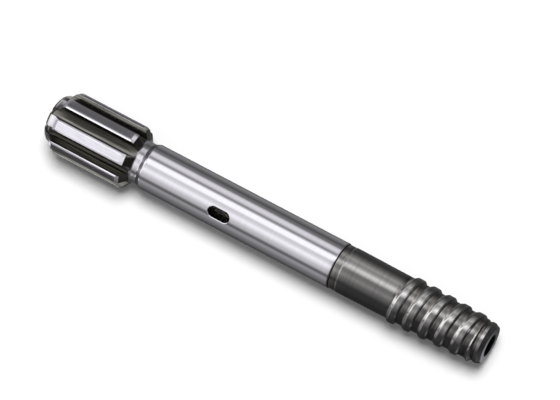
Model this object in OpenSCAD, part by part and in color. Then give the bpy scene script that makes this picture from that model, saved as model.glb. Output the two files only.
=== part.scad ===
// Shank adapter of a top hammer rock drill, turned and milled from one steel bar.
// The X axis is the axis of the tool: X = 0 is the striking face and the nose is at X = overall_len.
// +Z is up as it lies, on two splines of its head and a crest of its thread.
// Angles around the axis are taken from +Z towards -Y. Sizes are in millimetres.

/* [Overall] */
// Length from the striking face to the nose
overall_len = 435; // [400:1:480]

/* [Splined head] */
// Diameter of the short collar at the striking end
collar_d = 45.6; // [44:0.1:48]
// Length of the collar, up to the foot of the spline lead in
collar_len = 8.4; // [8:0.1:12]
// Radius of the rounded rim of the striking face
strike_round = 7.5; // [3:0.1:8]
// Number of splines
spline_count = 8; // [6:1:10]
// Diameter over the splines
spline_d = 58.4; // [54:0.1:62]
// Diameter of the floor of the spline grooves
spline_floor_d = 42.6; // [41:0.1:44]
// Width of one spline, between parallel flanks
spline_w = 10.2; // [8:0.1:11]
// Bevel along both edges of a spline crest
spline_bevel = 1.2; // [0.5:0.1:1.5]
// Length of the steep part of the lead in
lead_steep_len = 2.4; // [1.5:0.1:4]
// Height that is left for the gentle part of the lead in
lead_gentle_h = 2.4; // [1:0.1:3]
// Length of the gentle part of the lead in
lead_gentle_len = 3.2; // [2:0.1:5]
// Length of the splines at full height
crest_len = 65.2; // [50:0.1:70]
// Drop of the first, gentle bevel at the end of the splines
tail_drop = 1.2; // [0.6:0.1:2]
// Length of that gentle bevel
tail_gentle_len = 3.5; // [2:0.1:5]
// Length of the steep end face of the splines
tail_steep_len = 5.5; // [4:0.1:8]

/* [Neck] */
// Diameter of the neck between the head and the journal
neck_d = 38.6; // [36:0.1:40]
// Width of the neck at full depth
neck_len = 5.4; // [4:0.1:9]
// Length of the conical shoulder that leads up to the journal
shoulder_len = 3.9; // [2:0.1:6]

/* [Journal] */
// Diameter of the ground journal
journal_d = 42.5; // [41:0.05:44]
// Bevel at the thread end of the journal
journal_bevel = 0.4; // [0.2:0.1:0.6]

/* [Flushing] */
// Diameter of the flushing bore, drilled from the nose
bore_d = 18.8; // [14:0.1:20]
// Width of the bevel at the mouth of the bore
bore_bevel = 1.2; // [0.5:0.1:2.5]
// Distance of the middle of the flushing slot from the striking face
slot_from_strike = 177.4; // [150:0.1:220]
// Length of the flushing slot
slot_len = 21; // [18:0.5:26]
// Width of the flushing slot
slot_w = 10.5; // [8:0.1:13]
// Direction of the flushing slot around the axis
slot_angle = 37.4; // [0:0.1:90]
// Length of full bore past the slot
bore_past_slot = 3; // [1:0.5:10]
// Included angle of the drill point at the blind end of the bore
drill_point = 118; // [90:1:140]

/* [Threaded end] */
// Length from the end of the journal to the nose
thread_end_len = 147; // [135:1:160]
// Diameter of the hardened body beside the journal
body_d = 42; // [40:0.1:42.3]
// Diameter of the body where the thread begins
body_end_d = 41.2; // [40.8:0.1:42]
// Diameter of the shallow relief next to the journal
relief_d = 41.3; // [39:0.1:41.5]
// Width of that relief
relief_len = 7.5; // [4:0.1:12]
// Distance of the thread root's start from the nose
root_start = 89; // [85:0.5:92]
// Diameter of the thread root at its end by the nose
root_end_d = 38.1; // [37:0.1:39.5]
// Pitch of the left-hand thread, one start
pitch = 15; // [14:0.1:16]
// Diameter over the crests where the root begins
crest_d = 46.3; // [44.5:0.1:47]
// Diameter over the crests at the groove by the nose
crest_end_d = 41.5; // [40.5:0.1:43]
// Width of the flat on top of a crest
crest_flat = 5.6; // [4:0.1:6.5]
// Width of a crest at its foot
crest_foot = 11.6; // [9:0.1:12.5]
// Turns of the thread, up to the nose groove that ends it
thread_turns = 5.9; // [5:0.1:5.9]
// Distance from the nose of the crest's middle where it begins
thread_from_nose = 92.6; // [92:0.1:94]
// Direction around the axis where the thread begins
thread_angle = 268; // [0:1:359]

/* [Nose] */
// Diameter of the groove between the thread and the nose
nose_groove_d = 36.4; // [35:0.1:37.5]
// Width of that groove, with its sloping sides
nose_groove_len = 3.4; // [3:0.1:5]
// Width of the floor of that groove
nose_floor_len = 1.8; // [1:0.1:2.4]
// Diameter of the plain land at the nose
land_d = 37.9; // [37:0.1:39]
// Length of the land
land_len = 2.6; // [1.5:0.1:4]
// Length of the cone between the land and the nose face
nose_cone_len = 4; // [2:0.1:5]
// Diameter of the nose face
nose_face_d = 34.2; // [33:0.1:36.5]

/* [Hidden] */

// Places along the axis, from the striking face
lead_knee_x = collar_len + lead_steep_len;
crest_start_x = lead_knee_x + lead_gentle_len;
crest_end_x = crest_start_x + crest_len;
tail_knee_x = crest_end_x + tail_gentle_len;
tail_end_x = tail_knee_x + tail_steep_len;
floor_bevel = (spline_floor_d - neck_d) / 2;
neck_start_x = tail_end_x + floor_bevel / 2;
shoulder_x = neck_start_x + neck_len;
journal_start_x = shoulder_x + shoulder_len;
journal_end_x = overall_len - thread_end_len;
relief_end_x = journal_end_x + relief_len;
root_start_x = overall_len - root_start;
thread_x = overall_len - thread_from_nose;
cone_x = overall_len - nose_cone_len;
land_x = cone_x - land_len;
groove_x = land_x - nose_groove_len;
bore_end_x = slot_from_strike - slot_len / 2 - bore_past_slot;

// Radii
head_r = spline_d / 2;
floor_r = spline_floor_d / 2;
collar_r = collar_d / 2;
neck_r = neck_d / 2;
journal_r = journal_d / 2;
relief_r = relief_d / 2;
body_r = body_d / 2;
root_end_r = root_end_d / 2;
groove_r = nose_groove_d / 2;
land_r = land_d / 2;
bore_r = bore_d / 2;

// Steps around a full circle, around an end of the slot, along the rounded rim and along a turn of the thread
round_steps = 120;
slot_steps = 48;
rim_steps = 8;
turn_steps = 40;
// Overlap that makes a cut or a joint clean
over = 1;
// Depth that the flanks of a crest reach below the root, and how far they run on outwards there
bury = 1.2;
bury_out = 0.5;
// Turns over which the crest rises where the thread begins
run_in = 0.5;
// How far below the root it begins to rise, as a share of its height
sunk = 0.2;
// Two points that round each flank of a crest: [way across the flank, share of the height]
flank_low = [0.4, 0.25];
flank_high = [0.85, 0.88];

function mix(a, b, t) = a + (b - a) * t;

// Rounded rim of the striking face on a radius, as points from the face outwards
function rim(r) = [
    for (i = [0 : rim_steps])
        let (a = 90 * i / rim_steps)
            [r - strike_round * (1 - sin(a)), strike_round * (1 - cos(a))]
];

// Root and crest of the thread at a distance along the axis, which both taper towards the nose
function taper(d, end_d, x) = mix(d, end_d, (x - root_start_x) / (groove_x - root_start_x)) / 2;
function root_r(x) = taper(body_end_d, root_end_d, x);
function crest_r(x) = taper(crest_d, crest_end_d, x);

// Turns [radius, distance] points about the X axis
module turned(points) {
    rotate([0, 90, 0]) rotate_extrude($fn = round_steps) polygon(points);
}

// The bar with its journal, neck, hardened body and thread root
module bar() {
    turned(concat(
        [[0, 0]],
        rim(floor_r),
        [
            [floor_r, neck_start_x - floor_bevel],
            [neck_r, neck_start_x],
            [neck_r, shoulder_x],
            [journal_r, journal_start_x],
            [journal_r, journal_end_x - journal_bevel],
            [relief_r, journal_end_x],
            [relief_r, relief_end_x - (body_r - relief_r)],
            [body_r, relief_end_x],
            [body_end_d / 2, root_start_x],
            [root_end_r, groove_x],
            [root_end_r, overall_len],
            [0, overall_len]
        ]
    ));
}

// Outer form that the collar and the splines are turned to before the grooves are milled
module head_blank() {
    turned(concat(
        [[0, 0]],
        rim(collar_r),
        [
            [collar_r, collar_len],
            [head_r - lead_gentle_h, lead_knee_x],
            [head_r, crest_start_x],
            [head_r, crest_end_x],
            [head_r - tail_drop, tail_knee_x],
            [floor_r - floor_bevel / 2, tail_end_x],
            [0, tail_end_x]
        ]
    ));
}

// Section of one spline with bevelled edges, drawn out along the axis
module spline_bar() {
    half = spline_w / 2;
    rotate([90, 0, 90]) linear_extrude(tail_end_x)
        polygon([
            [-half, 0],
            [half, 0],
            [half, head_r - spline_bevel],
            [half - spline_bevel, head_r + over],
            [spline_bevel - half, head_r + over],
            [-half, head_r - spline_bevel]
        ]);
}

module splines() {
    intersection() {
        head_blank();
        for (i = [0 : spline_count - 1])
            rotate([360 / spline_count * (i + 0.5), 0, 0]) spline_bar();
    }
}

// Left-hand crest: one section of points is carried along a helix and joined into a closed ridge
module thread() {
    steps = round(thread_turns * turn_steps);
    flat = crest_flat / 2;
    foot = crest_foot / 2;
    // Across a crest: [offset along the axis, share of the crest's height], a share of -1 for the buried ends
    outline = [
        [-foot - bury_out, -1],
        [mix(-foot, -flat, flank_low[0]), flank_low[1]],
        [mix(-foot, -flat, flank_high[0]), flank_high[1]],
        [-flat, 1],
        [flat, 1],
        [mix(foot, flat, flank_high[0]), flank_high[1]],
        [mix(foot, flat, flank_low[0]), flank_low[1]],
        [foot + bury_out, -1]
    ];
    n = len(outline);
    points = [
        for (i = [0 : steps])
            let (
                turn = i / turn_steps,
                a = thread_angle - turn * 360,
                top = mix(-sunk, 1, min(1, turn / run_in))
            )
            for (p = outline)
                let (
                    x = min(thread_x + turn * pitch + p[0], overall_len - over),
                    root = root_r(x),
                    r = p[1] < 0 ? root - bury : mix(root, crest_r(x), min(p[1], top))
                )
                [x, -r * sin(a), r * cos(a)]
    ];
    faces = concat(
        [[for (k = [0 : n - 1]) k]],
        [[for (k = [0 : n - 1]) steps * n + n - 1 - k]],
        [
            for (i = [0 : steps - 1], k = [0 : n - 1])
                [i * n + k, (i + 1) * n + k, (i + 1) * n + (k + 1) % n]
        ],
        [
            for (i = [0 : steps - 1], k = [0 : n - 1])
                [i * n + k, (i + 1) * n + (k + 1) % n, i * n + (k + 1) % n]
        ]
    );
    polyhedron(points, faces);
}

// Everything outside the nose: its cone, its land and the groove whose side cuts off the crests
module nose_cut() {
    side = (nose_groove_len - nose_floor_len) / 2;
    floor_x = groove_x + side;
    clear_r = crest_d / 2 + over;
    turned([
        [clear_r, floor_x - side * (clear_r - groove_r) / (root_end_r - groove_r)],
        [groove_r, floor_x],
        [groove_r, floor_x + nose_floor_len],
        [land_r, land_x],
        [land_r, cone_x],
        [nose_face_d / 2, overall_len],
        [nose_face_d / 2, overall_len + over],
        [clear_r, overall_len + over]
    ]);
}

// Flushing bore from the nose to just past the slot, with a drill point and a bevelled mouth
module flushing_bore() {
    point_len = bore_r / tan(drill_point / 2);
    turned([
        [0, bore_end_x - point_len],
        [bore_r, bore_end_x],
        [bore_r, overall_len - bore_bevel],
        [bore_r + bore_bevel + over, overall_len + over],
        [0, overall_len + over]
    ]);
}

// Oblong slot that lets the flushing water into the bore
module flushing_slot() {
    reach = (slot_len - slot_w) / 2;
    translate([slot_from_strike, 0, 0]) rotate([slot_angle, 0, 0]) {
        for (side = [-1, 1])
            translate([side * reach, 0, 0]) cylinder(h = journal_d, d = slot_w, $fn = slot_steps);
        translate([-reach, -slot_w / 2, 0]) cube([2 * reach, slot_w, journal_d]);
    }
}

module shank_adapter() {
    color("#8c8b90") difference() {
        union() {
            bar();
            splines();
            thread();
        }
        nose_cut();
        flushing_bore();
        flushing_slot();
    }
}

shank_adapter();
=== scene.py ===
import math

import bmesh
import bpy
from mathutils import Matrix, Vector


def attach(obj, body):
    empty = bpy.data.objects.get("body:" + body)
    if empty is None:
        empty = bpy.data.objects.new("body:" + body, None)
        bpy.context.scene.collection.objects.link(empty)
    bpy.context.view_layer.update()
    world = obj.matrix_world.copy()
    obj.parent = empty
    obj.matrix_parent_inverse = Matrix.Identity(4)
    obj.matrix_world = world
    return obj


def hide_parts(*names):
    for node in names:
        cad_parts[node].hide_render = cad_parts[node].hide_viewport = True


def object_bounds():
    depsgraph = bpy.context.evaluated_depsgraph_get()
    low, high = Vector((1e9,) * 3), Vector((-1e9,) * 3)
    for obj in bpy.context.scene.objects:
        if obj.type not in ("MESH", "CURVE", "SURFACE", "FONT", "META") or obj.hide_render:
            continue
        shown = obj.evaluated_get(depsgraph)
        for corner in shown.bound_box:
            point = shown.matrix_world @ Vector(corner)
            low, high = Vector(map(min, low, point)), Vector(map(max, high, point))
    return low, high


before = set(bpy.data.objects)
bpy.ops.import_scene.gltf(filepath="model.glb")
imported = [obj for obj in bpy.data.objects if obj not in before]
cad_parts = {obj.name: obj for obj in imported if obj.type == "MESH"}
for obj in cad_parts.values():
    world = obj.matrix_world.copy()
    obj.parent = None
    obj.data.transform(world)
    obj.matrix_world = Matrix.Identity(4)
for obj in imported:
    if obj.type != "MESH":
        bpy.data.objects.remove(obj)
cadBox = [list(corner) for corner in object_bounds()]
print("frame loaded")

mm = 0.001
fullTurn = 2 * math.pi
mergeDistance = 1e-4  # mm, within which points are one point or lie on a cut

# the camera, at the photograph's viewing angle
cameraSettings = {
    "toolRoll": 10.2,  # degrees from +Z towards -Y at which the tool faces the camera
    "alongTool": 1023,  # mm from the striking face to the point of the axis under the camera
    "fromAxis": 3000,  # mm between that point and the camera
    "aimAlong": 214.5,  # the picture's middle, along the tool and above its axis, in mm
    "aimAbove": 26.3,
    "fall": 27.65,  # degrees by which the tool falls towards the right of the picture
    "pixelsPerMm": 1.1687,
    "pictureWidth": 560,  # pixels
    "sensor": 36,  # mm
    "nearest": 0.1, "farthest": 20,  # m
}

roll = math.radians(cameraSettings["toolRoll"])
towardsCamera = Vector((0, -math.sin(roll), math.cos(roll)))
downPicture = Vector((0, -math.cos(roll), -math.sin(roll)))


def makeCamera(s):
    place = Vector((s["alongTool"], 0, 0)) + s["fromAxis"] * towardsCamera
    aim = Vector((s["aimAlong"], 0, 0)) - s["aimAbove"] * downPicture
    back = (place - aim).normalized()
    along = Vector((1, 0, 0))
    along = (along - along.dot(back) * back).normalized()
    across = back.cross(along)
    fall = math.radians(s["fall"])
    right = math.cos(fall) * along + math.sin(fall) * across
    up = math.cos(fall) * across - math.sin(fall) * along
    data = bpy.data.cameras.new("camera")
    data.sensor_width = s["sensor"]
    data.lens = s["pixelsPerMm"] * (place - aim).length * s["sensor"] / s["pictureWidth"]
    data.clip_start, data.clip_end = s["nearest"], s["farthest"]
    camera = bpy.data.objects.new("camera", data)
    turn = Matrix((right, up, back)).transposed().to_4x4()
    camera.matrix_world = Matrix.Translation(place * mm) @ turn
    bpy.context.scene.collection.objects.link(camera)
    bpy.context.scene.camera = camera


makeCamera(cameraSettings)
print("camera made")

# the steel bar, in mm until it is finished
shank = {
    "length": 435,
    "steps": 180,  # around a full circle
    "collarR": 22.8, "collarEnd": 8.4, "rimRound": 7.5, "rimSteps": 10,
    "headR": 29.2, "floorR": 21.3,  # over the splines and at the floors between them
    "splineWidth": 10.2, "splineCount": 8, "splineInnerR": 16, "splineStart": 0.001,
    "bevelAcross": 1.05, "bevelDown": 0.66,  # along the edges of a spline's crest
    "crestRound": 0.12, "edgeRound": 0.12,
    "leadKnee": 10.8, "leadHeight": 2.4, "crestStart": 14, "crestEnd": 79.2,
    "tailKnee": 82.7, "tailDrop": 1.2, "tailEnd": 88.2,
    "neckR": 19.3, "neckStart": 89.2, "neckEnd": 94.6, "journalStart": 98.5,
    "journalR": 21.25, "journalEnd": 288, "journalBevel": 0.4,
    "reliefR": 20.65, "reliefEnd": 295.5, "bodyR": 21, "ringWidth": 0.9,
    "boreR": 9.4, "boreBevel": 1.2, "boreEnd": 163.9, "drillPoint": 118,
    "cornerRound": 0.16,  # on every turned corner
    "supportFrom": 2.5, "support": 0.5,  # a longer stretch gets a loop this close to each end
    "slotMiddle": 177.4, "slotLength": 21, "slotWidth": 10.5, "slotAngle": 37.4,
    "slotBevel": 0.5, "slotSteps": 48, "slotFloor": 2, "slotAbove": 5,
    "slotClear": 20,  # the slot's cut leaves the journal's faces further off alone
    "moreRings": (130, 230, 260),  # these shorten the journal's and the bore's long faces
}
thread = {
    "zoneStart": 335,  # the finely divided length that carries the crests
    "rootStart": 346, "rootStartR": 20.6, "rootEndR": 19.05,
    "crestStartR": 23.15, "crestEndR": 20.75,
    "pitch": 15, "firstX": 342.4, "firstAngle": 268, "runIn": 0.5, "sunk": 0.2,
    # ends of a crest's flat and of its foot, gentler towards the head
    "flat": (-1.2, 2.9), "foot": (-5.5, 4.8),
    "steps": 144, "firstTurn": -2, "lastTurn": 6, "spunR": 20, "joinWithin": 0.02,
    # where lines run along one pitch, closest on the flanks
    "lines": (
        -7.5, -6.3, -5.8, -5.5, -5.1, -4.7, -4.3, -3.8, -3.3, -2.8, -2.3, -1.9, -1.5, -1.2,
        -0.8, 0.4, 1.5, 2.3, 2.7, 3.0, 3.3, 3.6, 3.9, 4.2, 4.5, 4.8, 5.2, 6.2,
    ),
    "bridgeIn": 0.4, "bridgeOut": 0.2,  # gaps to the plain lengths on both sides
}
nose = {
    "grooveX": 425.0, "grooveR": 18.2, "floorX": 425.8, "floorEnd": 427.6,
    "landX": 428.4, "landR": 18.95, "coneX": 431, "faceR": 17.1,
    "rings": 8, "ringStep": 0.35,  # fine rings where the thread runs out at the groove
}


def bentChain(mesh, points, rounding):
    verts = [mesh.verts.new((x, 0, r)) for x, r in points]
    for pair in zip(verts, verts[1:]):
        mesh.edges.new(pair)
    if not rounding:
        return
    bmesh.ops.bevel(
        mesh, geom=verts[1:-1], offset=rounding, offset_type="OFFSET", segments=2,
        profile=0.5, affect="VERTICES", material=-1, clamp_overlap=True,
    )
    # a loop close to each end of a long stretch keeps its shading straight
    for edge in [e for e in mesh.edges if e.calc_length() > shank["supportFrom"]]:
        length = edge.calc_length()
        start, end = edge.verts
        bmesh.utils.edge_split(edge, start, shank["support"] / length)
        last = next(e for e in end.link_edges if e.calc_length() > length - 1)
        bmesh.utils.edge_split(last, end, shank["support"] / last.calc_length())


def turned(points, steps, rounding=0.0):
    mesh = bmesh.new()
    bentChain(mesh, points, rounding)
    bmesh.ops.spin(
        mesh, geom=mesh.verts[:] + mesh.edges[:], cent=(0, 0, 0), axis=(1, 0, 0),
        dvec=(0, 0, 0), angle=fullTurn, steps=steps,
        use_merge=True, use_normal_flip=False, use_duplicate=False,
    )
    bmesh.ops.remove_doubles(mesh, verts=mesh.verts[:], dist=mergeDistance)
    return mesh


def cutAt(mesh, x, clearBefore=False, clearAfter=False):
    bmesh.ops.bisect_plane(
        mesh, geom=mesh.verts[:] + mesh.edges[:] + mesh.faces[:], dist=mergeDistance,
        plane_co=(x, 0, 0), plane_no=(1, 0, 0), clear_inner=clearBefore, clear_outer=clearAfter,
    )


def rimPoints(radius, s):
    points = []
    for i in range(s["rimSteps"] + 1):
        a = math.pi / 2 * i / s["rimSteps"]
        points.append((
            s["rimRound"] * (1 - math.cos(a)), radius - s["rimRound"] * (1 - math.sin(a)),
        ))
    return points


def bodyCone(x):
    share = (x - shank["reliefEnd"]) / (thread["rootStart"] - shank["reliefEnd"])
    return shank["bodyR"] + share * (thread["rootStartR"] - shank["bodyR"])


def alongThread(x, startR, endR):
    share = (x - thread["rootStart"]) / (nose["grooveX"] - thread["rootStart"])
    return startR + share * (endR - startR)


def rootRadius(x):
    if x < thread["rootStart"]:
        return bodyCone(x)
    return alongThread(x, thread["rootStartR"], thread["rootEndR"])


def crestRadius(x):
    return alongThread(x, thread["crestStartR"], thread["crestEndR"])


def runOutRadius(x):
    slope = (thread["rootEndR"] - nose["grooveR"]) / (nose["floorX"] - nose["grooveX"])
    return nose["grooveR"] + slope * (nose["floorX"] - x)


def threadRadius(x, angle):
    t = thread
    crest = crestRadius(x)
    start = t["firstX"] + t["pitch"] * (((t["firstAngle"] - angle) / 360) % 1)
    turns = round((x - start) / t["pitch"])
    middle = start + turns * t["pitch"]
    side = 0 if x < middle else 1
    away = (x - middle - t["flat"][side]) / (t["foot"][side] - t["flat"][side])
    away = min(1, max(0, away))
    # a flank is partly a wave and partly straight, as a rolled rope thread's is
    rounded = 0.5 + 0.5 * math.cos(math.pi * away)
    height = 0.45 * rounded + 0.55 * min(1, max(0, 1.1 - 1.2 * away))
    # the first turn rises out of the body
    risen = (middle - t["firstX"]) / t["pitch"] / t["runIn"]
    risen = -t["sunk"] + (1 + t["sunk"]) * min(1, max(0, risen))
    root = rootRadius(x)
    radius = root + (crest - root) * max(0, min(height, risen))
    return min(radius, runOutRadius(x))


def threadedLength():
    t, n = thread, nose
    start = math.radians(t["firstAngle"])
    mesh = bmesh.new()
    turns = range(t["firstTurn"], t["lastTurn"] + 1)
    places = [t["firstX"] + k * t["pitch"] + line for k in turns for line in t["lines"]]
    y, z = -t["spunR"] * math.sin(start), t["spunR"] * math.cos(start)
    verts = [mesh.verts.new((x, y, z)) for x in places]
    edges = [mesh.edges.new(pair) for pair in zip(verts, verts[1:])]
    bmesh.ops.spin(
        mesh, geom=verts + edges, cent=(0, 0, 0), axis=(-1, 0, 0),
        dvec=(t["pitch"] / t["steps"], 0, 0), angle=fullTurn, steps=t["steps"],
        use_merge=False, use_normal_flip=False, use_duplicate=False,
    )
    bmesh.ops.remove_doubles(mesh, verts=mesh.verts[:], dist=t["joinWithin"])
    cutAt(mesh, t["zoneStart"], clearBefore=True)
    for i in range(n["rings"]):
        cutAt(mesh, n["grooveX"] - n["ringStep"] * i, clearAfter=i == 0)
    for v in mesh.verts:
        angle = math.degrees(math.atan2(-v.co.y, v.co.z))
        scale = threadRadius(v.co.x, angle) / math.hypot(v.co.y, v.co.z)
        v.co.y *= scale
        v.co.z *= scale
    return mesh


def added(mesh, other):
    data = bpy.data.meshes.new("part")
    other.to_mesh(data)
    other.free()
    mesh.from_mesh(data)
    bpy.data.meshes.remove(data)


def edgeRing(mesh, x):
    return [
        e for e in mesh.edges if e.is_boundary and all(abs(v.co.x - x) < 0.01 for v in e.verts)
    ]


def plainBar():
    s, t, n = shank, thread, nose
    frontEnd, backStart = t["zoneStart"] - t["bridgeIn"], n["grooveX"] + t["bridgeOut"]
    front = [(0, 0)] + rimPoints(s["floorR"], s) + [
        (s["neckStart"] - (s["floorR"] - s["neckR"]), s["floorR"]),
        (s["neckStart"], s["neckR"]), (s["neckEnd"], s["neckR"]),
        (s["journalStart"], s["journalR"]),
        (s["journalEnd"] - s["journalBevel"], s["journalR"]), (s["journalEnd"], s["reliefR"]),
        (s["journalEnd"] + s["ringWidth"], s["reliefR"]),
        (s["reliefEnd"] - (s["bodyR"] - s["reliefR"]), s["reliefR"]),
        (s["reliefEnd"], s["bodyR"]), (frontEnd, bodyCone(frontEnd)),
    ]
    pointLength = s["boreR"] / math.tan(math.radians(s["drillPoint"] / 2))
    back = [
        (backStart, runOutRadius(backStart)),
        (n["floorX"], n["grooveR"]), (n["floorEnd"], n["grooveR"]),
        (n["landX"], n["landR"]), (n["coneX"], n["landR"]), (s["length"], n["faceR"]),
        (s["length"], s["boreR"] + s["boreBevel"]),
        (s["length"] - s["boreBevel"], s["boreR"]), (s["boreEnd"], s["boreR"]),
        (s["boreEnd"] - pointLength, 0),
    ]
    mesh = turned(front, s["steps"], s["cornerRound"])
    added(mesh, turned(back, s["steps"], s["cornerRound"]))
    added(mesh, threadedLength())
    for a, b in ((frontEnd, t["zoneStart"]), (n["grooveX"], backStart)):
        bmesh.ops.bridge_loops(mesh, edges=edgeRing(mesh, a) + edgeRing(mesh, b))
    aroundSlot = (s["slotMiddle"] - s["slotClear"], s["slotMiddle"] + s["slotClear"])
    for x in aroundSlot + s["moreRings"]:
        cutAt(mesh, x)
    bmesh.ops.recalc_face_normals(mesh, faces=mesh.faces[:])
    return mesh


def splineBars():
    # the section's roof touches the crest's circle where the bevels of its edges begin
    s = shank
    half = s["splineWidth"] / 2
    touch = half - s["bevelAcross"]
    touchZ = math.sqrt(s["headR"] ** 2 - touch ** 2)
    ridge, corner = touchZ + touch ** 2 / touchZ, touchZ - s["bevelDown"]
    section = [
        (-half, s["splineInnerR"]), (half, s["splineInnerR"]), (half, corner),
        (touch, touchZ), (0, ridge), (-touch, touchZ), (-half, corner),
    ]
    mesh = bmesh.new()
    verts = [mesh.verts.new((s["splineStart"], y, z)) for y, z in section]
    mesh.faces.new(verts)
    for corners, rounding in (((3, 5), s["crestRound"]), ((2, 6), s["edgeRound"])):
        bmesh.ops.bevel(
            mesh, geom=[verts[i] for i in corners], offset=rounding, offset_type="OFFSET",
            segments=3, profile=0.5, affect="VERTICES", material=-1, clamp_overlap=True,
        )
    moved = bmesh.ops.extrude_face_region(mesh, geom=mesh.faces[:])["geom"]
    ends = [v for v in moved if isinstance(v, bmesh.types.BMVert)]
    bmesh.ops.translate(mesh, vec=(s["tailEnd"], 0, 0), verts=ends)
    halfStep = Matrix.Rotation(math.pi / s["splineCount"], 3, "X")
    bmesh.ops.rotate(mesh, cent=(0, 0, 0), matrix=halfStep, verts=mesh.verts[:])
    bmesh.ops.recalc_face_normals(mesh, faces=mesh.faces[:])
    bmesh.ops.spin(
        mesh, geom=mesh.verts[:] + mesh.edges[:] + mesh.faces[:], cent=(0, 0, 0),
        axis=(1, 0, 0), dvec=(0, 0, 0), angle=fullTurn * (1 - 1 / s["splineCount"]),
        steps=s["splineCount"] - 1,
        use_merge=False, use_normal_flip=False, use_duplicate=True,
    )
    return mesh


def headBlank():
    s = shank
    slack = (s["floorR"] - s["neckR"]) / 2
    return turned(
        [(0, 0)] + rimPoints(s["collarR"], s) + [
            (s["collarEnd"], s["collarR"]), (s["leadKnee"], s["headR"] - s["leadHeight"]),
            (s["crestStart"], s["headR"]), (s["crestEnd"], s["headR"]),
            (s["tailKnee"], s["headR"] - s["tailDrop"]), (s["tailEnd"], s["floorR"] - slack),
            (s["tailEnd"], 0),
        ],
        s["steps"],
    )


def stadium(mesh, half, reach, depth):
    ring = bmesh.ops.create_circle(
        mesh, cap_ends=False, segments=shank["slotSteps"], radius=half,
    )["verts"]
    for v in ring:
        v.co.x += math.copysign(reach, v.co.x)
        v.co.z = depth(v.co.y)
    return [e for e in mesh.edges if e.verts[0] in ring and e.verts[1] in ring]


def slotCutter():
    s = shank
    half, bevel = s["slotWidth"] / 2, s["slotBevel"]
    wide = half + 2 * bevel
    reach = (s["slotLength"] - s["slotWidth"]) / 2
    surface = lambda y: math.sqrt(s["journalR"] ** 2 - y ** 2)
    mesh = bmesh.new()
    bottom = stadium(mesh, half, reach, lambda y: s["slotFloor"])
    inner = stadium(mesh, half, reach, lambda y: surface(y) - bevel)
    outer = stadium(mesh, wide, reach, lambda y: surface(y) + bevel)
    top = stadium(mesh, wide, reach, lambda y: s["journalR"] + s["slotAbove"])
    for a, b in ((bottom, inner), (inner, outer), (outer, top)):
        bmesh.ops.bridge_loops(mesh, edges=a + b)
    bmesh.ops.holes_fill(mesh, edges=bottom + top, sides=0)
    turn = Matrix.Rotation(math.radians(s["slotAngle"]), 3, "X")
    bmesh.ops.rotate(mesh, cent=(0, 0, 0), matrix=turn, verts=mesh.verts[:])
    bmesh.ops.translate(mesh, vec=(s["slotMiddle"], 0, 0), verts=mesh.verts[:])
    bmesh.ops.recalc_face_normals(mesh, faces=mesh.faces[:])
    return mesh


def asObject(name, mesh):
    data = bpy.data.meshes.new(name)
    mesh.to_mesh(data)
    mesh.free()
    thing = bpy.data.objects.new(name, data)
    bpy.context.scene.collection.objects.link(thing)
    return thing


def joined(target, tool, operation):
    modifier = target.modifiers.new(operation, "BOOLEAN")
    modifier.object, modifier.operation, modifier.solver = tool, operation, "EXACT"
    bpy.context.view_layer.update()
    evaluated = target.evaluated_get(bpy.context.evaluated_depsgraph_get())
    result = bpy.data.meshes.new_from_object(evaluated)
    target.modifiers.clear()
    spare = target.data
    target.data = result
    bpy.data.meshes.remove(spare)
    bpy.data.meshes.remove(tool.data)
    return target


def shapedBar():
    shaped = asObject("shankAdapter", plainBar())
    blank = asObject("headBlank", headBlank())
    splines = joined(asObject("splines", splineBars()), blank, "INTERSECT")
    joined(shaped, splines, "UNION")
    joined(shaped, asObject("slotCutter", slotCutter()), "DIFFERENCE")
    return shaped


bar = shapedBar()
print("bar turned, milled and slotted:", len(bar.data.polygons), "faces")


def linear(text):
    values = [int(text[i:i + 2], 16) / 255 for i in (1, 3, 5)]
    return [v / 12.92 if v <= 0.04045 else ((v + 0.055) / 1.055) ** 2.4 for v in values] + [1]


def addNode(tree, kind, links=(), **settings):
    node = tree.nodes.new(kind)
    for name, value in settings.items():
        if name in node.inputs:
            node.inputs[name].default_value = value
        else:
            setattr(node, name, value)
    for source, target in links:
        tree.links.new(source, node.inputs[target])
    return node


def newMaterial(name):
    material = bpy.data.materials.new(name)
    material.use_nodes = True
    tree = material.node_tree
    return material, tree, tree.nodes["Principled BSDF"]


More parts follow.
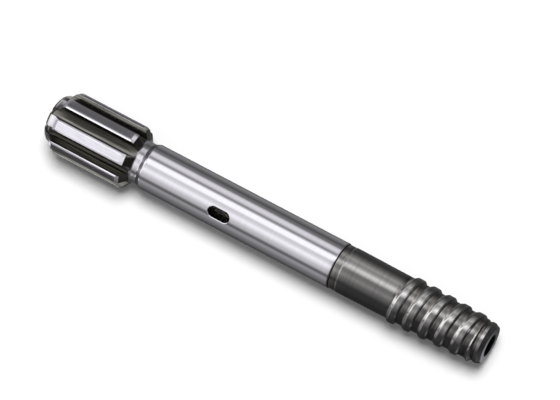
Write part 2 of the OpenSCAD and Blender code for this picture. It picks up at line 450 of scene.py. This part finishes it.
# The surfaces of one piece of carburised alloy steel. Each row is base colour light and dark,
# roughness low and high, grain size in mm along X and across, bump in mm. Real grinding and
# turning marks are 0.02 to 0.3 mm apart, too fine to show, so they are drawn 0.6 to 2.5 mm apart.
finishes = {
    # ground and polished: close to a mirror, pale, with faint rings around the bar
    "groundJournalSteel": ("#efedf1", "#eae8ec", 0.09, 0.11, 0.9, 60, 0.0003),
    # ground less finely: the same shine, a touch darker and uneven
    "groundEndSteel": ("#e6e4e8", "#d2d0d4", 0.09, 0.15, 0.9, 20, 0.001),
    # turned and left so: a satin grey band that blurs what it reflects
    "turnedShoulderSteel": ("#a3a1a5", "#8c8a8e", 0.3, 0.42, 0.9, 20, 0.001),
    # hardened, then ground lengthwise: a bright flat with fine streaks along the spline
    "hardenedCrestSteel": ("#eae8ed", "#dbd9de", 0.09, 0.15, 14, 1.0, 0.0012),
    # milled and hardened: dark olive grey with long cutter lines
    "milledGrooveSteel": ("#918f88", "#4c4b46", 0.08, 0.2, 30, 0.6, 0.005),
    # turned and blackened by the heat: soft sheen, faint turning rings
    "blackenedBodySteel": ("#c1bfbc", "#b3b1ae", 0.15, 0.19, 2.5, 60, 0.0007),
    # rolled thread: warm dark grey in the roots, patchy from scale
    "threadRootSteel": ("#b7b4b0", "#86837f", 0.12, 0.2, 2.2, 14, 0.003),
    # the same scale rubbed thin on the crests: lighter, with blotches
    "threadCrestSteel": ("#e2e0de", "#bcb9b6", 0.12, 0.18, 2.2, 14, 0.002),
    # flanks facing the head: a paler copy of the thread steel, painted light that brings white
    # spots where a light meets them
    "paintedHighlightFlankSteel": ("#f0eeec", "#d6d4d2", 0.15, 0.2, 2.2, 9, 0.001),
    # a thin dull dark ring beside the step, painted shade that stands for the step's shadow
    "paintedStepShadowSteel": ("#484544", "#2d2b2a", 0.3, 0.4, 1.5, 6, 0.001),
    # faced off: plain cool grey, slightly mottled
    "noseFaceSteel": ("#c3c4ca", "#a5a6ac", 0.14, 0.22, 1.0, 8, 0.002),
    # hole walls painted near black as the shade deep in the holes, with a weak shine
    "paintedHoleShadeSteel": ("#4a4846", "#2a2827", 0.25, 0.4, 1.2, 3, 0.002),
    # drilled wall: dull pale grey, which shows as a grey patch in the slot's depth
    "drilledBoreSteel": ("#f8f7f4", "#dedcd8", 0.6, 0.8, 1.2, 12, 0.003),
}
grain = {"from": 0.35, "to": 0.65, "detail": 3, "roughness": 0.6}
finishPlaces = {
    "slack": 0.05, "pastEdge": 0.2,  # mm, over which a border still counts as reached
    # the bore's wall past the third of these places along X is painted near black as shade
    "boreFrom": 1, "mouthBevel": 2, "shadedBoreFrom": 230,  # mm
    "rimFace": 0.5, "crestFoot": 1,  # mm
    "shoulderFrom": 0.3, "shoulderLand": 0.5,  # mm off the neck and off the journal
    # parts of a face's normal, outwards or along X
    "inward": -0.2, "sideways": 0.25, "steepTail": 0.6, "leftFlank": -0.22,
    # shares of the thread's height
    "bodyBelow": 0.04, "flankAbove": 0.08, "crestAbove": 0.5,
    # degrees between two faces past which their edge is sharp
    "headSharp": 17, "restSharp": 24,
}


def steelFinish(name, light, dark, smooth, rough, grainAlong, grainAcross, bump):
    material, tree, shader = newMaterial(name)
    shader.inputs["Metallic"].default_value = 1
    place = addNode(tree, "ShaderNodeTexCoord")
    stretch = addNode(
        tree, "ShaderNodeMapping", [(place.outputs["Object"], "Vector")],
        Scale=(1 / (grainAlong * mm), 1 / (grainAcross * mm), 1 / (grainAcross * mm)),
    )
    noise = addNode(
        tree, "ShaderNodeTexNoise", [(stretch.outputs["Vector"], "Vector")],
        Scale=1, Detail=grain["detail"], Roughness=grain["roughness"],
    )
    tone = addNode(tree, "ShaderNodeValToRGB", [(noise.outputs["Fac"], "Fac")])
    low, high = tone.color_ramp.elements[0], tone.color_ramp.elements[1]
    low.position, high.position = grain["from"], grain["to"]
    low.color, high.color = linear(dark), linear(light)
    gloss = addNode(
        tree, "ShaderNodeMapRange", [(noise.outputs["Fac"], "Value")],
        **{"From Min": grain["from"], "From Max": grain["to"], "To Min": rough, "To Max": smooth},
    )
    relief = addNode(
        tree, "ShaderNodeBump", [(noise.outputs["Fac"], "Height")],
        Strength=1, Distance=bump * mm,
    )
    tree.links.new(tone.outputs["Color"], shader.inputs["Base Color"])
    tree.links.new(gloss.outputs["Result"], shader.inputs["Roughness"])
    tree.links.new(relief.outputs["Normal"], shader.inputs["Normal"])
    return material


def finishNameAt(centre, normal):
    s, p = shank, finishPlaces
    x, r = centre.x, math.hypot(centre.y, centre.z)
    outward = (centre.y * normal.y + centre.z * normal.z) / max(r, 1e-6)
    inBore = r < s["boreR"] + p["slack"] and x > p["boreFrom"]
    # deep in the bore towards the nose the wall is painted near black as shade; the part seen
    # through the slot stays pale
    if inBore or outward < p["inward"] and r < s["boreR"] + p["mouthBevel"]:
        return "drilledBoreSteel" if x < p["shadedBoreFrom"] else "paintedHoleShadeSteel"
    # the slot's walls are painted near black as the slot's shade
    underSurface = r < s["journalR"] - s["slotBevel"] - p["slack"]
    if abs(x - s["slotMiddle"]) < s["slotClear"] and underSurface:
        return "paintedHoleShadeSteel"
    if x < s["tailEnd"] - 0.01:
        onCollar = x < s["collarEnd"]
        if onCollar and (r > s["floorR"] + p["pastEdge"] or x < p["rimFace"]):
            return "groundEndSteel"
        facesOut = outward > p["sideways"] and normal.x < p["steepTail"]
        onCrest = r > s["floorR"] + p["crestFoot"] and facesOut
        return "hardenedCrestSteel" if onCrest else "milledGrooveSteel"
    if x < s["journalStart"]:
        fromX, toX = s["neckEnd"] + p["shoulderFrom"], s["journalStart"] - p["shoulderLand"]
        return "turnedShoulderSteel" if fromX < x < toX else "groundEndSteel"
    if x < s["journalEnd"] - p["pastEdge"]:
        return "groundJournalSteel"
    # the thin ring just past the journal's step is painted dark as the step's shadow
    if x < s["journalEnd"] + s["ringWidth"]:
        return "paintedStepShadowSteel"
    if x < s["reliefEnd"] - p["pastEdge"]:
        return "threadRootSteel"
    if x > s["length"] - p["slack"]:
        return "noseFaceSteel"
    if x > nose["grooveX"]:
        return "threadCrestSteel" if x > nose["landX"] else "threadRootSteel"
    height = (r - rootRadius(x)) / (crestRadius(x) - rootRadius(x))
    if x < thread["rootStart"] and height < p["bodyBelow"]:
        return "blackenedBodySteel"
    # flanks facing the head get the paler copy of the thread steel, painted light for their
    # highlight spots
    if height > p["flankAbove"] and normal.x < p["leftFlank"]:
        return "paintedHighlightFlankSteel"
    return "threadCrestSteel" if height > p["crestAbove"] else "threadRootSteel"


def finishBar():
    names = list(finishes)
    bar.data.materials.clear()
    for name in names:
        bar.data.materials.append(steelFinish(name, *finishes[name]))
    mesh = bmesh.new()
    mesh.from_mesh(bar.data)
    bmesh.ops.remove_doubles(mesh, verts=mesh.verts[:], dist=1e-3)
    bmesh.ops.dissolve_degenerate(mesh, dist=1e-3, edges=mesh.edges[:])
    for face in mesh.faces:
        face.smooth = True
        place = face.calc_center_median()
        face.material_index = names.index(finishNameAt(place, face.normal))
    for edge in mesh.edges:
        onHead = edge.verts[0].co.x < shank["tailEnd"] + 0.01
        limit = math.radians(finishPlaces["headSharp" if onHead else "restSharp"])
        edge.smooth = len(edge.link_faces) == 2 and edge.calc_face_angle() < limit
    bmesh.ops.scale(mesh, vec=(mm, mm, mm), verts=mesh.verts[:])
    print("open edges:", sum(len(e.link_faces) != 2 for e in mesh.edges))
    mesh.to_mesh(bar.data)
    mesh.free()
    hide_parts("shank_adapter")
    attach(bar, "root")


finishBar()
print("finishes put on")


def studioPiece(name, mesh, material):
    thing = asObject(name, mesh)
    thing.data.materials.append(material)
    return thing


# matt pale board under the tool: it keeps the soft shadow and no reflection
floor = {"colour": "#f8f8f8", "roughness": 0.9, "halfSize": 30, "height": cadBox[0][2]}


def makeFloor():
    material, tree, shader = newMaterial("paleStudioFloor")
    shader.inputs["Base Color"].default_value = linear(floor["colour"])
    shader.inputs["Roughness"].default_value = floor["roughness"]
    shader.inputs["Specular IOR Level"].default_value = 0
    mesh = bmesh.new()
    bmesh.ops.create_grid(mesh, x_segments=1, y_segments=1, size=floor["halfSize"])
    bmesh.ops.translate(mesh, vec=(0, 0, floor["height"]), verts=mesh.verts[:])
    board = studioPiece("studioFloor", mesh, material)
    board.visible_glossy = False


# White cloth and black flags around the tool, which only reflections see. Each stretch has the
# places along X, in m, over which the one before it gives way to it, then its bands:
# (degrees from the camera's side, downwards in the picture; brightness there).
tent = {
    "radius": 0.15, "length": 4, "segments": 96, "blueness": 1.03,
    "stretches": (
        (None, (  # far past the head
            (-180, 0.2), (-90, 0.3), (-60, 0.25), (-35, 0.12), (-18, 0.16), (0, 0.5),
            (12, 1.15), (60, 1.1), (85, 0.8), (98, 0.55), (112, 0.5), (135, 0.3), (180, 0.2),
        )),
        ((-0.37, -0.3), (  # just past the head
            (-180, 0.35), (-141, 0.35), (-132, 0.32), (-124, 0.24), (-116, 0.34),
            (-108, 0.56), (-100, 0.6), (-89, 0.48), (-77, 0.24), (-65, 0.2), (-50, 0.06),
            (-36, 0.12), (-27, 1.2), (12, 1.3), (65, 1.1), (77, 0.9), (89, 0.35), (98, 0.2),
            (108, 0.05), (126, 0.06), (138, 0.2), (145, 1), (158, 1), (170, 0.3), (180, 0.35),
        )),
        ((-0.09, -0.07), (  # beside the collar
            (-180, 0.5), (-130, 0.5), (-116, 0.3), (-100, 0.2), (-80, 0.5), (-68, 0.45),
            (-58, 0.12), (-46, 0.1), (-34, 0.12), (-26, 1.0), (12, 1.1), (38, 1.05),
            (54, 0.35), (68, 0.15), (78, 0.05), (95, 0.05), (110, 0.14), (180, 0.1),
        )),
        ((-0.035, -0.027), (  # beside the splines
            (-180, 0.14), (-156, 0.26), (-142, 0.2), (-130, 0.08), (-120, 0.07), (-112, 0.11),
            (-92, 0.1), (-80, 0.15), (-62, 0.13), (-49, 0.12), (-45, 0.85), (-37, 0.85),
            (-32, 0.2), (-14, 0.26), (-9, 1.6), (5, 1.6), (11, 1.05), (37, 1.05), (41, 1.6),
            (48, 1.6), (52, 0.08), (77, 0.05), (80, 1.4), (90, 1.4), (93, 0.06), (112, 0.06),
            (150, 0.08), (180, 0.1),
        )),
        ((0.04, 0.05), (  # beside the journal
            (-180, 0.5), (-156, 0.22), (-142, 0.14), (-128, 0.25), (-109, 0.17), (-95, 0.08),
            (-83, 0.16), (-73, 0.2), (-64, 0.72), (-54, 0.8), (-45, 0.6), (-38, 0.22),
            (-32, 0.42), (-25, 1.15), (-10, 1.15), (0, 0.68), (10, 0.78), (20, 1.05),
            (27, 0.98), (42, 0.62), (54, 0.5), (62, 0.2), (69, 0.1), (80, 0.32), (88, 0.3),
            (101, 0.2), (117, 0.14), (138, 0.06), (156, 0.08), (180, 0.12),
        )),
        ((0.253, 0.261), (  # beside the dark body and the thread
            (-180, 0.12), (-146, 0.1), (-115, 0.07), (-97, 0.06), (-81, 0.16), (-70, 0.3),
            (-54, 0.6), (-45, 0.38), (-33, 0.64), (-23, 1.3), (-14, 1.0), (-4, 0.27),
            (8, 0.27), (23, 0.42), (36, 0.24), (50, 0.15), (64, 0.055), (85, 0.055),
            (116, 0.035), (150, 0.03), (180, 0.08),
        )),
        ((0.44, 0.47), (  # a flag between the nose and the camera
            (-180, 0.24), (-175, 0.07), (-120, 0.06), (-60, 0.04), (-30, 0.06), (0, 0.04),
            (30, 0.03), (120, 0.08), (175, 0.38), (180, 0.3),
        )),
    ),
}


def makeTent():
    material, tree, shader = newMaterial("studioTentCloth")
    tree.nodes.remove(shader)
    place = addNode(tree, "ShaderNodeTexCoord")
    parts = addNode(tree, "ShaderNodeSeparateXYZ", [(place.outputs["Object"], "Vector")])
    away = addNode(tree, "ShaderNodeMath", [(parts.outputs["Y"], 0)], operation="MULTIPLY")
    away.inputs[1].default_value = -1
    angle = addNode(
        tree, "ShaderNodeMath", [(away.outputs[0], 0), (parts.outputs["Z"], 1)],
        operation="ARCTAN2",
    )
    # the angle as a share of a turn, a half at the camera's side; the whole turn keeps it above 0
    share = addNode(tree, "ShaderNodeMath", [(angle.outputs[0], 0)], operation="MULTIPLY_ADD")
    share.inputs[1].default_value = 1 / fullTurn
    share.inputs[2].default_value = 0.5 - roll / fullTurn + 1
    wrapped = addNode(tree, "ShaderNodeMath", [(share.outputs[0], 0)], operation="FRACT")
    colour = None
    for change, bands in tent["stretches"]:
        stretch = addNode(tree, "ShaderNodeValToRGB", [(wrapped.outputs[0], "Fac")])
        stops = stretch.color_ramp.elements
        while len(stops) < len(bands):
            stops.new(0.5)
        for stop, (degrees, level) in zip(stops, bands):
            stop.position = degrees / 360 + 0.5
            stop.color = (level, level, level * tent["blueness"], 1)
        following = stretch.outputs["Color"]
        if colour:
            factor = addNode(
                tree, "ShaderNodeMapRange", [(parts.outputs["X"], "Value")],
                interpolation_type="SMOOTHSTEP",
                **{"From Min": change[0], "From Max": change[1]},
            )
            blend = addNode(tree, "ShaderNodeMix", data_type="RGBA")
            tree.links.new(factor.outputs["Result"], blend.inputs[0])
            tree.links.new(colour, blend.inputs[6])
            tree.links.new(following, blend.inputs[7])
            following = blend.outputs[2]
        colour = following
    light = addNode(tree, "ShaderNodeEmission", [(colour, "Color")], Strength=1)
    tree.links.new(light.outputs[0], tree.nodes["Material Output"].inputs["Surface"])
    mesh = bmesh.new()
    bmesh.ops.create_cone(
        mesh, cap_ends=False, segments=tent["segments"], radius1=tent["radius"],
        radius2=tent["radius"], depth=tent["length"], matrix=Matrix.Rotation(math.pi / 2, 4, "Y"),
    )
    cloth = studioPiece("studioTent", mesh, material)
    cloth.visible_camera = cloth.visible_diffuse = cloth.visible_shadow = False
    cloth.visible_transmission = cloth.visible_volume_scatter = False


# a large soft lamp from behind and above, and even light from all round
lamps = {"sunStrength": 2.8, "sunAngle": 27, "sunFrom": (0.08, 0.16, 0.98), "ambient": 0.24}


def makeLamps():
    data = bpy.data.lights.new("softSun", "SUN")
    data.energy, data.angle = lamps["sunStrength"], math.radians(lamps["sunAngle"])
    sun = bpy.data.objects.new("softSun", data)
    sun.rotation_euler = Vector(lamps["sunFrom"]).to_track_quat("Z", "Y").to_euler()
    sun.visible_glossy = False
    bpy.context.scene.collection.objects.link(sun)


def makeWorld():
    # white where the camera, gloss or glass sees it, and the lamps' even light elsewhere
    world = bpy.data.worlds.new("studioAir")
    bpy.context.scene.world = world
    world.use_nodes = True
    tree = world.node_tree
    path = addNode(tree, "ShaderNodeLightPath")
    seen = addNode(
        tree, "ShaderNodeMath",
        [(path.outputs["Is Camera Ray"], 0), (path.outputs["Is Glossy Ray"], 1)],
        operation="MAXIMUM",
    )
    seenThrough = addNode(
        tree, "ShaderNodeMath",
        [(seen.outputs[0], 0), (path.outputs["Is Transmission Ray"], 1)],
        operation="MAXIMUM",
    )
    level = addNode(
        tree, "ShaderNodeMapRange", [(seenThrough.outputs[0], "Value")],
        **{"To Min": lamps["ambient"], "To Max": 1},
    )
    background = tree.nodes["Background"]
    tree.links.new(level.outputs["Result"], background.inputs["Strength"])
    background.inputs["Color"].default_value = (1, 1, 1, 1)


makeFloor()
makeTent()
makeLamps()
makeWorld()
bpy.context.scene.view_settings.view_transform = "Standard"
print("studio lit")
